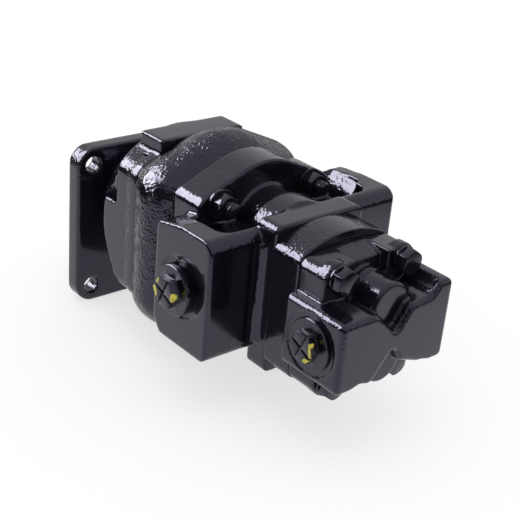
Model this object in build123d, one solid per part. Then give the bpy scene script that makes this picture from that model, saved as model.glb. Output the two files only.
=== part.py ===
from build123d import *
import math
import os

# Tandem gear pump, side ported, with a square four-bolt mounting flange.
# Frame: X runs along the drive shaft, from the mounting face (X = 0) to the rear end,
# Z is up, and the drive shaft axis is Z = 0. The driven gears sit above it.
# Sections are drawn on planes across the shaft, as (Y, Z) outlines pushed along +X.

# ---- mounting flange and pilot (SAE C, four bolts) ----
flange_side = 145.2
flange_thickness = 16.2
flange_corner_radius = 17.5
flange_bolt_spacing = 114.5
flange_hole_radius = 7.15
pilot_radius = 63.5
pilot_length = 12.7

# ---- gears ----
tooth_count = 11
gear_module = 4.0
profile_shift = 0.23
pressure_angle = math.radians(20)
axis_clearance = 0.16
gear_centre_distance = gear_module * (tooth_count + 2 * profile_shift) + axis_clearance
journal_radius = 16.5
gear_tip_clearance = 0.3
gear_side_clearance = 0.3
journal_clearance = 0.06
mid_z = gear_centre_distance / 2
driven_z = gear_centre_distance
tip_radius = gear_module * (tooth_count / 2 + 1 + profile_shift)
chamber_radius = tip_radius + gear_tip_clearance

# ---- drive shaft ----
shaft_radius = 15.875
shaft_end_length = 55.6
spline_teeth = 14
spline_length = 38.0
spline_tooth_height = 2.2
coupling_radius = 9.0
coupling_tooth_height = 1.2
coupling_engagement = 18.0
coupling_end_gap = 2.0
coupling_bore_clearance = 0.1

# ---- lengths along the shaft ----
cover_length = 90.0
front_housing_length = 50.0
carrier_length = 96.0
rear_housing_length = 28.0
rear_cover_length = 59.5
band_length = 32.0
cover_rim_length = 10.0
rear_cover_step = 20.5

# ---- front body outline (six sided, rounded) ----
body_half_width = 65.0
body_peak = 88.0
body_slope = math.tan(math.radians(23.5))
shoulder_radius = 10.0
peak_radius = 60.0
rim_peak = 84.0
rim_shoulder_radius = 14.0
rim_peak_radius = 70.0
bulge = 11.0
bulge_shoulder_radius = 34.0

# ---- bell and top pad of the mounting cover ----
bell_root_radius = 40.0
bell_flare = 0.9
bell_inset = 1.0
bolt_scallop_radius = 17.0
bolt_scallop_length = 44.0
pad_length = 30.0
pad_width = 83.4
pad_top = 101.0

# ---- port blocks of the centre casting ----
front_block_start = 17.0
front_block_length = 66.0
front_block_reach = 27.0
front_block_half_width = body_half_width + front_block_reach
front_block_top = 76.4
front_block_front_top = 70.5
front_right_rise = 5.6
front_block_bottom = -21.5
core_half_width = 40.0
core_half_height = 42.0
pocket_end = 72.0
pocket_reach = 8.0
pocket_half_width = body_half_width + pocket_reach
pocket_floor = 39.5
pocket_corner_radius = 12.0
pocket_floor_radius = 7.0
side_pocket_width = 15.0
side_pocket_end = 56.0
side_pocket_rib = 1.0
side_pocket_radius = 5.0
front_hub_radius = 30.2
rear_hub_radius = 41.0
hub_rise = 8.9
hub_step = 20.0
front_port_z = 28.5
port_depth = 26.0
spotface_depth = 1.2

# ---- ports: outlets on the left (-Y), larger inlets on the right (+Y) ----
outlet_radius = 16.7
front_inlet_radius = 20.6
rear_inlet_radius = 18.6
spotface_margin = 8.0

# ---- rear plate of the centre casting ----
plate_thickness = 22.0
plate_corner_radius = 6.0
plate_lip = 0.5
plate_inset = 1.8
plate_web_radius = 7.0

# ---- rear section ----
rear_side_wall = 17.78
rear_top_wall = 10.3
rear_half_width = chamber_radius + rear_side_wall
rear_arch_top = mid_z + chamber_radius + rear_top_wall
rear_arch_radius = 86.0
rear_shoulder_radius = 9.0
plate_half_width = rear_half_width - plate_inset
plate_half_height = rear_arch_top + plate_lip
rear_cover_drop = 8.0
rear_cover_top = rear_arch_top - rear_cover_drop
rear_cover_arch_radius = 300.0
rear_cover_flange = 27.0
saddle_half_width = 16.0
saddle_drop = 5.0
rear_block_half_width = 54.7
rear_block_top = 48.0
rear_block_bottom = -8.0
rear_ridge_top = 57.5
rear_port_z = 20.0
rear_port_place = 28.5
bearing_boss_radius = 19.0
bearing_boss_length = 28.5
bearing_nose_radius = 17.3
bearing_nose_length = 50.6

# ---- fasteners ----
stud_radius = 6.0
stud_y = 45.0
stud_z = 56.0
nut_flats = 18.0
nut_height = 10.0
stud_tail = 7.0
stud_chamfer = 1.0
corner_chamfer = 1.2
nut_spotface_radius = 14.5
nut_spotface_depth = 0.6
bolt_head_height = 8.5
washer_thickness = 2.5
front_washer_radius = 12.0
rear_washer_radius = 10.5
lobe_margin = 1.2
lobe_length = 9.0
hole_clearance = 0.5
wrench_clearance = 4.5
scoop_lip = 4.5
front_thread_engagement = 14.0
rear_thread_engagement = 20.0
thread_run_out = 2.0

# ---- inner parts ----
bushing_wall = 5.0
bushing_length = 24.0
rear_bushing_length = 17.0
bore_shoulder = 1.5
thrust_plate_thickness = 6.7
thrust_plate_gap = 0.15
groove_inset = 1.0
groove_width = 2.0
groove_depth = 1.8
seal_height = 1.7
shaft_seal_radius = 25.0
shaft_seal_thickness = 9.0
ring_groove_depth = 1.2
ring_thickness = 1.6
ring_land = 1.2
dowel_radius = 4.0
dowel_length = 16.0
dowel_wall = 2.8
front_dowel_y = 42.0
front_dowel_z = 37.0
rear_dowel_z = 20.0
fit_gap = 0.05
plug_gap = 0.3

# ---- rear bolt circle, just outside the housing seal ----
rear_bolt_wall = 0.43
rear_bolt_angle = math.radians(31.4)
seal_land = chamber_radius + groove_inset + groove_width
rear_bolt_reach = seal_land + stud_radius + hole_clearance + rear_bolt_wall
rear_bolt_y = rear_bolt_reach * math.cos(rear_bolt_angle)
rear_bolt_z = mid_z + rear_bolt_reach * math.sin(rear_bolt_angle)
rear_dowel_y = seal_land + dowel_radius + dowel_wall

# ---- plastic port plugs ----
plug_head_flats = 25.0
plug_flange_lip = 3.3
front_flange_height = 9.8
front_head_height = 12.0
rear_flange_height = 5.2
rear_head_height = 10.0
plug_groove_width = 1.6
plug_groove_depth = 1.2
plug_depth = 14.0

# ---- places along X, from the lengths above ----
x_housing = cover_length
x_carrier = x_housing + front_housing_length
x_recess = x_carrier + band_length
x_block = x_carrier + front_block_start
x_block_end = x_block + front_block_length
x_rear_housing = x_carrier + carrier_length
x_plate = x_rear_housing - plate_thickness
x_rear_cover = x_rear_housing + rear_housing_length
x_bolt_floor = x_rear_cover + rear_cover_flange
x_saddle = x_rear_cover + rear_cover_step
x_end = x_rear_cover + rear_cover_length
x_nut_face = x_recess - nut_spotface_depth
x_front_port = x_block + front_block_length / 2
x_rear_port = x_rear_cover + rear_port_place
bushing_radius = journal_radius + bushing_wall
front_gear_width = front_housing_length - 2 * (thrust_plate_thickness + gear_side_clearance)
rear_gear_width = rear_housing_length - 2 * (thrust_plate_thickness + gear_side_clearance)
x_front_gear = x_housing + thrust_plate_thickness + gear_side_clearance
x_rear_gear = x_rear_housing + thrust_plate_thickness + gear_side_clearance
x_ring = ring_land - pilot_length
x_seal = x_ring + ring_thickness + 2 * fit_gap
x_seal_end = x_seal + shaft_seal_thickness
x_pocket_end = x_carrier + pocket_end
nut_corner_radius = nut_flats / math.sqrt(3)
plug_head_radius = plug_head_flats / math.sqrt(3)

os.makedirs("parts", exist_ok=True)


def across(x):
    """Plane across the shaft at x, with local x as Y and local y as Z."""
    return Plane.YZ.offset(x)


def disc(x, y, z, radius, length):
    """Cylinder along X, from x to x + length."""
    return extrude(across(x) * Pos(y, z) * Circle(radius), length)


def tube(x, y, z, outer, inner, length):
    """Hollow cylinder along X."""
    return extrude(across(x) * Pos(y, z) * (Circle(outer) - Circle(inner)), length)


def hexagon(x, y, z, flats, length):
    """Hexagonal prism along X with a flat on its side."""
    return extrude(across(x) * Pos(y, z) * RegularPolygon(flats / 2, 6, major_radius=False), length)


def rounded(points, radii):
    """Face through the points, each corner rounded by its own radius."""
    face = make_face(Polyline(*points, close=True))
    for point, radius in zip(points, radii):
        corner = face.vertices().sort_by_distance(Vector(point[0], point[1], 0))[0]
        face = fillet(corner, radius)
    return face


def body_outline(half_width, peak, slope, shoulder, crown):
    """Six sided body outline about the mid-plane of the two gear axes."""
    edge = peak - slope * half_width
    points = [(0, peak), (half_width, edge), (half_width, -edge),
              (0, -peak), (-half_width, -edge), (-half_width, edge)]
    return Pos(0, mid_z) * rounded(points, [crown, shoulder, shoulder, crown, shoulder, shoulder])


def arch_outline(half_width, top, radius, shoulder):
    """Rear body outline: straight sides, arched top and bottom, rounded shoulders."""
    side = top - radius + math.sqrt(radius ** 2 - half_width ** 2)
    upper = ThreePointArc((-half_width, side), (0, top), (half_width, side))
    lower = ThreePointArc((half_width, -side), (0, -top), (-half_width, -side))
    right = Line((half_width, side), (half_width, -side))
    left = Line((-half_width, -side), (-half_width, side))
    face = make_face(upper + right + lower + left)
    return Pos(0, mid_z) * fillet(face.vertices(), shoulder)


def rim_outline():
    """Outline of the joint between the mounting cover and the front gear housing."""
    return body_outline(body_half_width, rim_peak, body_slope, rim_shoulder_radius, rim_peak_radius)


def two_axes(x, radius, length):
    """Figure-eight volume on the drive and driven axes."""
    return disc(x, 0, 0, radius, length) + disc(x, 0, driven_z, radius, length)


def mirrored_places(y, z):
    """The four places at +-y, and z above and below the mid-plane."""
    return [(side * y, mid_z + height * z) for side in (-1, 1) for height in (-1, 1)]


def holes(x, y, z, radius, length):
    """Four holes along X at the mirrored places."""
    return [disc(x, py, pz, radius, length) for py, pz in mirrored_places(y, z)]


def side_cylinder(side, x, z, radius, start, length):
    """Cylinder along Y on one side of the body, from |Y| = start outwards."""
    plane = Plane(origin=(x, side * start, z), x_dir=(1, 0, 0), z_dir=(0, side, 0))
    return extrude(plane * Circle(radius), length)


def dowels_at(y, z):
    """One dowel at each end of a diagonal of the gear chamber."""
    return [(side * y, mid_z - side * z) for side in (-1, 1)]


def front_dowels_at():
    return dowels_at(front_dowel_y, front_dowel_z)


def rear_dowels_at():
    return dowels_at(rear_dowel_y, rear_dowel_z)


# ---------------------------------------------------------------- mounting cover
def mounting_cover():
    flange = extrude(across(0) * RectangleRounded(flange_side, flange_side, flange_corner_radius),
                     flange_thickness)
    pilot = disc(-pilot_length, 0, 0, pilot_radius, pilot_length)
    x_neck = flange_thickness - 1
    x_rim = cover_length - cover_rim_length
    outline = body_outline(body_half_width - bell_inset, rim_peak - bell_inset, body_slope,
                           rim_shoulder_radius, rim_peak_radius)
    bell = extrude(across(x_neck) * outline, x_rim - x_neck + 1)
    bell_end_radius = bell_root_radius + bell_flare * (x_rim + 1 - x_neck)
    cone = make_face(Polyline((x_neck, 0), (x_neck, bell_root_radius), (x_rim + 1, bell_end_radius),
                              (x_rim + 1, 0), close=True))
    bell = bell & (Pos(0, 0, mid_z) * revolve(Plane.XZ * cone, Axis.X))
    for y in (-1, 1):
        bell -= disc(flange_thickness, y * flange_bolt_spacing / 2, flange_bolt_spacing / 2,
                     bolt_scallop_radius, bolt_scallop_length)
    rim = extrude(across(x_rim) * rim_outline(), cover_rim_length)
    pad_height = pad_top - mid_z
    pad_middle = x_rim - pad_length / 6
    pad = Pos(pad_middle, 0, mid_z + pad_height / 2) * Box(pad_length, pad_width, pad_height)
    pad = pad - disc(pad_middle - pad_length / 2, 0, mid_z, body_half_width - 5, pad_length)
    body = flange + pilot + bell + rim + pad
    for y in (-1, 1):
        for z in (-1, 1):
            body -= disc(-1, y * flange_bolt_spacing / 2, z * flange_bolt_spacing / 2,
                         flange_hole_radius, flange_thickness + 2)
    body -= disc(-pilot_length - 1, 0, 0, shaft_radius + 1.0, cover_length + pilot_length + 2)
    body -= disc(-pilot_length - 1, 0, 0, shaft_seal_radius + fit_gap, 1 + x_seal_end + pilot_length)
    body -= disc(x_ring, 0, 0, shaft_seal_radius + ring_groove_depth, ring_thickness + 2 * fit_gap)
    body -= two_axes(cover_length - bushing_length, bushing_radius + fit_gap, bushing_length + 1)
    threaded = front_thread_engagement + thread_run_out
    for hole in holes(cover_length - threaded, stud_y, stud_z, stud_radius + fit_gap, threaded + 1):
        body -= hole
    for y, z in front_dowels_at():
        body -= disc(cover_length - dowel_length / 2, y, z, dowel_radius + fit_gap, dowel_length)
    return body


# ---------------------------------------------------------------- front gear housing
def front_gear_housing():
    x_mid = x_housing + 0.45 * front_housing_length
    middle = body_outline(body_half_width + bulge, rim_peak + bulge, body_slope,
                          bulge_shoulder_radius, peak_radius)
    end = body_outline(body_half_width - 2, body_peak - 3, body_slope, rim_shoulder_radius,
                       rim_peak_radius)
    body = loft([across(x_housing) * rim_outline(), across(x_mid) * middle, across(x_carrier) * end])
    body -= two_axes(x_housing - 1, chamber_radius, front_housing_length + 2)
    for hole in holes(x_housing - 1, stud_y, stud_z, stud_radius + hole_clearance,
                      front_housing_length + 2):
        body -= hole
    for y, z in front_dowels_at():
        for x in (x_housing, x_carrier):
            body -= disc(x - dowel_length / 2, y, z, dowel_radius + fit_gap, dowel_length)
    return body


# ---------------------------------------------------------------- centre casting
def port_block(side):
    """Outline of one port block seen from its side, pushed outwards from the core."""
    rise = front_right_rise if side > 0 else 0.0
    top = front_block_top + rise
    front_top = front_block_front_top + 1.6 * rise
    points = [(x_block, front_block_bottom + 12), (x_block + 8, front_block_bottom),
              (x_block_end, front_block_bottom), (x_block_end, top),
              (x_block + 29, top), (x_block, front_top)]
    face = rounded(points, [6, 6, 7, 10, 20, 6])
    plane = Plane(origin=(0, side * 30, 0), x_dir=(1, 0, 0), z_dir=(0, -1, 0))
    return extrude(plane * face, -side * (front_block_half_width - 30))


def corner_web(side):
    """Concave fillet where a port block meets the side of the rear plate."""
    r = plate_web_radius
    low = front_block_bottom + r
    square = Pos(x_block_end + r / 2, plate_half_width + r / 2) * Rectangle(r + 1, r + 1)
    corner = square - Pos(x_block_end + r, plate_half_width + r) * Circle(r)
    corner = corner.faces().sort_by(Axis.X)[0]
    web = Pos(0, 0, low) * extrude(corner, front_block_top - 10 - low)
    return web if side > 0 else mirror(web, Plane.XZ)


def nut_pocket(up):
    """Recess behind the band for two of the nuts, above or below the gear axes."""
    depth = 60.0
    length = x_pocket_end - x_recess
    middle = mid_z + up * (pocket_floor + depth / 2)
    pocket = Pos((x_recess + x_pocket_end) / 2, 0, middle) * Box(length, 2 * pocket_half_width, depth)
    pocket = fillet(pocket.edges().filter_by(Axis.Z).group_by(Axis.X)[-1], pocket_corner_radius)
    floor = pocket.faces().sort_by(Axis.Z)[0 if up > 0 else -1]
    open_edge = floor.edges().sort_by(Axis.X)[0]
    return fillet([edge for edge in floor.edges() if edge != open_edge], pocket_floor_radius)


def side_pocket():
    """The upper recess carried forward past the band, beside the +Y block."""
    start = x_block + 3
    end = x_carrier + side_pocket_end
    depth = 60.0
    width = side_pocket_width - side_pocket_rib
    y = body_half_width + side_pocket_rib + width / 2
    pocket = Pos((start + end) / 2, y, mid_z + pocket_floor + depth / 2) * Box(end - start, width, depth)
    return fillet(pocket.edges().filter_by(Axis.Z).group_by(Axis.Y)[-1], side_pocket_radius)


def centre_port_casting():
    band = extrude(across(x_carrier) * body_outline(body_half_width, body_peak, body_slope,
                                                    shoulder_radius, peak_radius), band_length)
    core = extrude(across(x_recess) * Pos(0, mid_z)
                   * RectangleRounded(2 * core_half_width, 2 * core_half_height, pocket_corner_radius),
                   carrier_length - band_length)
    plate = extrude(across(x_plate) * Pos(0, mid_z)
                    * RectangleRounded(2 * plate_half_width, 2 * plate_half_height, plate_corner_radius),
                    plate_thickness)
    body = band + core + plate
    for side in (-1, 1):
        body += port_block(side)
        body += corner_web(side)
    for up in (-1, 1):
        body -= nut_pocket(up)
    body -= side_pocket()
    for z, rise in ((0, -hub_rise), (driven_z, hub_rise)):
        body += disc(x_recess, 0, z + rise, front_hub_radius, hub_step)
        body += disc(x_recess + hub_step, 0, z, rear_hub_radius, x_plate - x_recess - hub_step)
    bore = bushing_radius + fit_gap
    for z in (0, driven_z):
        body -= disc(x_carrier - 1, 0, z, bore, bushing_length + 1)
        body -= disc(x_rear_housing - rear_bushing_length, 0, z, bore, rear_bushing_length + 1)
    body -= disc(x_carrier - 1, 0, 0, journal_radius - bore_shoulder, carrier_length + 2)
    for hole in holes(x_carrier - 1, stud_y, stud_z, stud_radius + hole_clearance, band_length + 2):
        body -= hole
    for spotface in holes(x_nut_face, stud_y, stud_z, nut_spotface_radius, nut_spotface_depth):
        body -= spotface
    threaded = rear_thread_engagement + thread_run_out
    for hole in holes(x_rear_housing - threaded, rear_bolt_y, rear_bolt_z, stud_radius + fit_gap,
                      threaded + 1):
        body -= hole
    for y, z in front_dowels_at():
        body -= disc(x_carrier - dowel_length / 2, y, z, dowel_radius + fit_gap, dowel_length)
    for y, z in rear_dowels_at():
        body -= disc(x_rear_housing - dowel_length / 2, y, z, dowel_radius + fit_gap, dowel_length)
    body = cut_port(body, -1, x_front_port, front_port_z, outlet_radius, front_block_half_width)
    return cut_port(body, 1, x_front_port, front_port_z, front_inlet_radius, front_block_half_width)


def cut_port(body, side, x, z, radius, face_y):
    """Bored port with its machined spotface, from the side."""
    body -= side_cylinder(side, x, z, radius, face_y - port_depth, port_depth + 1)
    return body - side_cylinder(side, x, z, radius + spotface_margin, face_y - spotface_depth,
                                spotface_depth + 1)


# ---------------------------------------------------------------- rear gear housing
def rear_gear_housing():
    outline = arch_outline(rear_half_width, rear_arch_top, rear_arch_radius, rear_shoulder_radius)
    body = extrude(across(x_rear_housing) * outline, rear_housing_length)
    body -= two_axes(x_rear_housing - 1, chamber_radius, rear_housing_length + 2)
    for hole in holes(x_rear_housing - 1, rear_bolt_y, rear_bolt_z, stud_radius + hole_clearance,
                      rear_housing_length + 2):
        body -= hole
    for y, z in rear_dowels_at():
        for x in (x_rear_housing, x_rear_cover):
            body -= disc(x - dowel_length / 2, y, z, dowel_radius + fit_gap, dowel_length)
    return body


# ---------------------------------------------------------------- rear port cover
def rear_web():
    """Both rear port blocks and the web between them, notched above and below."""
    w = rear_block_half_width
    top = rear_block_top
    bottom = rear_block_bottom
    points = [(-w, top), (-21, top), (0, top - 20.5), (13, top - 1.2), (33, top),
              (41, rear_ridge_top), (w, rear_ridge_top), (w, bottom), (36, bottom),
              (8, bottom + 10), (0, bottom + 23.5), (-19, bottom), (-w, bottom)]
    face = rounded(points, [5, 12, 4, 6, 5, 4, 5, 5, 8, 5, 4, 8, 5])
    web = extrude(across(x_rear_cover + 0.5) * face, rear_cover_length - 0.5)
    rear_edges = [edge for edge in web.faces().sort_by(Axis.X)[-1].edges()
                  if abs(edge.center().Y) > 43 and edge.center().Z > top - 6]
    return fillet(rear_edges, 4)


def bearing_boss(z):
    """Stepped boss behind one gear axis."""
    steps = [(0, 0), (0, bearing_boss_radius), (bearing_boss_length - 1.5, bearing_boss_radius),
             (bearing_boss_length, bearing_nose_radius), (bearing_nose_length - 1.5, bearing_nose_radius),
             (bearing_nose_length, bearing_nose_radius - 1.5), (bearing_nose_length, 0)]
    profile = make_face(Polyline(*[(x_rear_cover + x, r) for x, r in steps], close=True))
    return Pos(0, 0, z) * revolve(Plane.XZ * profile, Axis.X)


def saddle_cut(up):
    """Takes the flange down between two bolt lobes, above or below the gear axes."""
    top = rear_cover_top + 3
    floor = rear_block_top - mid_z + 1
    step = rear_cover_top - saddle_drop
    points = [(x_rear_cover + 2, top), (x_rear_cover + 2, rear_cover_top), (x_saddle, step),
              (x_saddle, floor), (x_bolt_floor + 1, floor), (x_bolt_floor + 1, top)]
    face = make_face(Polyline(*[(x, mid_z + up * z) for x, z in points], close=True))
    return extrude(Plane.XZ * face, saddle_half_width, both=True)


def rear_port_cover():
    outline = arch_outline(rear_half_width, rear_cover_top, rear_cover_arch_radius, rear_shoulder_radius)
    body = extrude(across(x_rear_cover) * outline, rear_cover_flange)
    for lobe in holes(x_bolt_floor - lobe_length, rear_bolt_y, rear_bolt_z,
                      rear_washer_radius + lobe_margin, lobe_length):
        body += lobe
    body -= saddle_cut(1)
    body -= saddle_cut(-1)
    body += rear_web()
    for z in (0, driven_z):
        body += bearing_boss(z)
        body -= disc(x_rear_cover - 1, 0, z, bushing_radius + fit_gap, rear_bushing_length + 1)
    for hole in holes(x_rear_cover - 1, rear_bolt_y, rear_bolt_z, stud_radius + hole_clearance,
                      rear_cover_flange + 2):
        body -= hole
    for y, z in mirrored_places(rear_bolt_y, rear_bolt_z):
        length = rear_cover_length - rear_cover_flange
        if z > mid_z:
            length -= scoop_lip
        body -= disc(x_bolt_floor, y, z, rear_washer_radius + wrench_clearance, length)
    for y, z in rear_dowels_at():
        body -= disc(x_rear_cover - dowel_length / 2, y, z, dowel_radius + fit_gap, dowel_length)
    body = cut_port(body, -1, x_rear_port, rear_port_z, outlet_radius, rear_block_half_width)
    return cut_port(body, 1, x_rear_port, rear_port_z, rear_inlet_radius, rear_block_half_width)


# ---------------------------------------------------------------- gears and shafts
def involute(angle):
    return math.tan(angle) - angle


def tooth_half_angle(radius):
    """Half the angle of one tooth at a radius."""
    pitch_radius = gear_module * tooth_count / 2
    base_radius = pitch_radius * math.cos(pressure_angle)
    thickness = gear_module * (math.pi / 2 + 2 * profile_shift * math.tan(pressure_angle))
    at_pitch = thickness / (2 * pitch_radius)
    if radius <= base_radius:
        undercut = 0.35 * (base_radius - radius) / gear_module
        return at_pitch + involute(pressure_angle) - undercut * at_pitch
    angle = math.acos(base_radius / radius)
    return at_pitch + involute(pressure_angle) - involute(angle)


def gear_outline(first_tooth):
    """Involute gear outline with a tooth centred at the angle first_tooth, in degrees."""
    root_radius = gear_module * (tooth_count / 2 - 1.25 + profile_shift)
    base_radius = gear_module * tooth_count / 2 * math.cos(pressure_angle)
    radii = [root_radius, base_radius]
    radii += [base_radius + (tip_radius - base_radius) * step / 4 for step in (1, 2, 3, 4)]
    points = []
    for tooth in range(tooth_count):
        middle = math.radians(first_tooth + 360 * tooth / tooth_count)
        rising = [(radius, middle - tooth_half_angle(radius)) for radius in radii]
        falling = [(radius, middle + tooth_half_angle(radius)) for radius in reversed(radii)]
        for radius, angle in rising + falling:
            points.append((radius * math.cos(angle), radius * math.sin(angle)))
    return make_face(Polyline(*points, close=True))


def gear(x, z, width, first_tooth):
    return extrude(across(x) * Pos(0, z) * gear_outline(first_tooth), width)


drive_tooth_angle = 90.0
driven_tooth_angle = 270.0 + 180.0 / tooth_count


def spline_outline(radius, teeth, height):
    """Straight-sided spline outline."""
    root = radius - height
    points = []
    for tooth in range(teeth):
        for share, reach in ((-0.28, root), (-0.2, radius), (0.2, radius), (0.28, root)):
            angle = 2 * math.pi * (tooth + share) / teeth
            points.append((reach * math.cos(angle), reach * math.sin(angle)))
    return make_face(Polyline(*points, close=True))


def drive_shaft():
    """Input shaft, one piece with the front drive gear and its journals."""
    spline_end = spline_length - shaft_end_length
    journal_start = cover_length - bushing_length
    journal_end = x_carrier + bushing_length
    body = disc(spline_end, 0, 0, shaft_radius, journal_start - spline_end)
    body += extrude(across(-shaft_end_length)
                    * spline_outline(shaft_radius, spline_teeth, spline_tooth_height), spline_length)
    body += disc(journal_start, 0, 0, journal_radius, journal_end - journal_start)
    body += gear(x_front_gear, 0, front_gear_width, drive_tooth_angle)
    return body - coupling_socket(journal_end - coupling_engagement - coupling_end_gap)


def coupling_socket(x):
    """Splined hole that takes one end of the coupling shaft."""
    outline = spline_outline(coupling_radius + coupling_bore_clearance, spline_teeth, coupling_tooth_height)
    return extrude(across(x) * outline, coupling_engagement + coupling_end_gap + 1)


def front_driven_gear():
    start = cover_length - bushing_length + 1
    length = front_housing_length + 2 * bushing_length - 2
    body = disc(start, 0, driven_z, journal_radius, length)
    return body + gear(x_front_gear, driven_z, front_gear_width, driven_tooth_angle)


def coupling_shaft():
    """Splined quill shaft that carries the drive on to the rear section."""
    start = x_carrier + bushing_length - coupling_engagement
    end = x_rear_housing - rear_bushing_length + coupling_engagement
    outline = spline_outline(coupling_radius, spline_teeth, coupling_tooth_height)
    return extrude(across(start) * outline, end - start)


def rear_drive_gear():
    start = x_rear_housing - rear_bushing_length
    end = x_rear_cover + rear_bushing_length - 1
    body = disc(start, 0, 0, journal_radius, end - start)
    body += gear(x_rear_gear, 0, rear_gear_width, drive_tooth_angle)
    return body - coupling_socket(start - 1)


def rear_driven_gear():
    start = x_rear_housing - rear_bushing_length + 1
    length = rear_housing_length + 2 * rear_bushing_length - 2
    body = disc(start, 0, driven_z, journal_radius, length)
    return body + gear(x_rear_gear, driven_z, rear_gear_width, driven_tooth_angle)


# ---------------------------------------------------------------- inner parts
def bushings(x_first, x_second, length):
    """Journal bushings at both ends of one pair of gears, two at each end."""
    sleeves = []
    for x in (x_first, x_second):
        for z in (0, driven_z):
            sleeves.append(tube(x, 0, z, bushing_radius, journal_radius + journal_clearance, length))
    return Compound(sleeves)


def thrust_plates(x_start, x_end):
    """Figure-eight side plates, one on each face of a pair of gears."""
    plates = []
    for x in (x_start + thrust_plate_gap / 2, x_end - thrust_plate_thickness - thrust_plate_gap / 2):
        thickness = thrust_plate_thickness - thrust_plate_gap / 2
        plate = two_axes(x, chamber_radius - thrust_plate_gap, thickness)
        for z in (0, driven_z):
            plate -= disc(x - 1, 0, z, journal_radius + gear_side_clearance, thrust_plate_thickness + 2)
        plates.append(plate)
    return plates


def seal_loop(x, inner, outer, length):
    """Figure-eight ring round the gear chamber."""
    return two_axes(x, outer, length) - two_axes(x - 1, inner, length + 2)


def cut_seal_grooves(body, x_start, x_end):
    inner = chamber_radius + groove_inset
    body -= seal_loop(x_start - 1, inner, inner + groove_width, groove_depth + 1)
    body -= seal_loop(x_end - groove_depth, inner, inner + groove_width, groove_depth + 1)
    return body


def housing_seals(x_start, x_end):
    inner = chamber_radius + groove_inset + fit_gap
    outer = chamber_radius + groove_inset + groove_width - fit_gap
    first = seal_loop(x_start + fit_gap, inner, outer, seal_height)
    second = seal_loop(x_end - fit_gap - seal_height, inner, outer, seal_height)
    return Compound([first.solid(), second.solid()])


def shaft_seal():
    inner = shaft_radius + journal_clearance
    body = tube(x_seal, 0, 0, shaft_seal_radius, inner, shaft_seal_thickness)
    recess = tube(x_seal - 1, 0, 0, shaft_seal_radius - 3, inner + 2.5, 4)
    return body - recess


def retaining_ring():
    ring = tube(x_ring + fit_gap, 0, 0, shaft_seal_radius + ring_groove_depth - 2 * fit_gap,
                shaft_seal_radius - 2.5, ring_thickness)
    gap = Pos(x_ring, 0, shaft_seal_radius) * Box(8, 10, 12)
    return ring - gap


def dowels(places, x_first, x_second):
    length = dowel_length - 2 * fit_gap
    return Compound([disc(x - length / 2, y, z, dowel_radius, length)
                     for x in (x_first, x_second) for y, z in places])


# ---------------------------------------------------------------- fasteners
def front_studs():
    start = cover_length - front_thread_engagement
    end = x_nut_face + washer_thickness + nut_height + stud_tail
    pins = [disc(start, y, z, stud_radius, end - start) for y, z in mirrored_places(stud_y, stud_z)]
    return Compound([chamfer(pin.edges().group_by(Axis.X)[-1], stud_chamfer) for pin in pins])


def washers(x, y, z, radius):
    return Compound([tube(x, py, pz, radius, stud_radius + hole_clearance, washer_thickness)
                     for py, pz in mirrored_places(y, z)])


def front_nuts():
    x = x_nut_face + washer_thickness
    nuts = []
    for y, z in mirrored_places(stud_y, stud_z):
        body = hexagon(x, y, z, nut_flats, nut_height)
        body = body & chamfered_bar(x, y, z, nut_height)
        nuts.append(body - disc(x - 1, y, z, stud_radius + fit_gap, nut_height + 2))
    return Compound(nuts)


def chamfered_bar(x, y, z, length):
    """Round bar whose outer edge trims the corners of a hexagon."""
    bar = disc(x, y, z, nut_corner_radius, length)
    return chamfer(bar.edges().group_by(Axis.X)[-1], corner_chamfer)


def rear_bolts():
    start = x_rear_housing - rear_thread_engagement
    head_x = x_bolt_floor + washer_thickness
    bolts = []
    for y, z in mirrored_places(rear_bolt_y, rear_bolt_z):
        head = hexagon(head_x, y, z, nut_flats, bolt_head_height)
        head = head & chamfered_bar(head_x, y, z, bolt_head_height)
        bolts.append(disc(start, y, z, stud_radius, head_x - start) + head)
    return Compound(bolts)


# ---------------------------------------------------------------- plastic port plugs
def port_plug(side, x, z, face_y, port_radius, flange_height, head_height):
    """Moulded plug: a stem in the port, a flange on the spotface and a grooved hexagon head."""
    floor = face_y - spotface_depth
    flange_radius = port_radius + plug_flange_lip
    body = side_cylinder(side, x, z, port_radius - plug_gap, floor - plug_depth, plug_depth)
    body += side_cylinder(side, x, z, flange_radius, floor, flange_height)
    plane = Plane(origin=(x, side * (floor + flange_height), z), x_dir=(1, 0, 0), z_dir=(0, side, 0))
    body += extrude(plane * RegularPolygon(plug_head_radius, 6), head_height)
    outer = plane.offset(head_height - plug_groove_depth)
    for turn in (45, -45):
        groove = Rot(0, 0, turn) * Rectangle(2 * plug_head_flats, plug_groove_width)
        body -= extrude(outer * groove, plug_groove_depth + 1)
    return body


def front_plug(side, port_radius):
    return port_plug(side, x_front_port, front_port_z, front_block_half_width, port_radius,
                     front_flange_height, front_head_height)


def rear_plug(side, port_radius):
    return port_plug(side, x_rear_port, rear_port_z, rear_block_half_width, port_radius,
                     rear_flange_height, rear_head_height)


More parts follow.
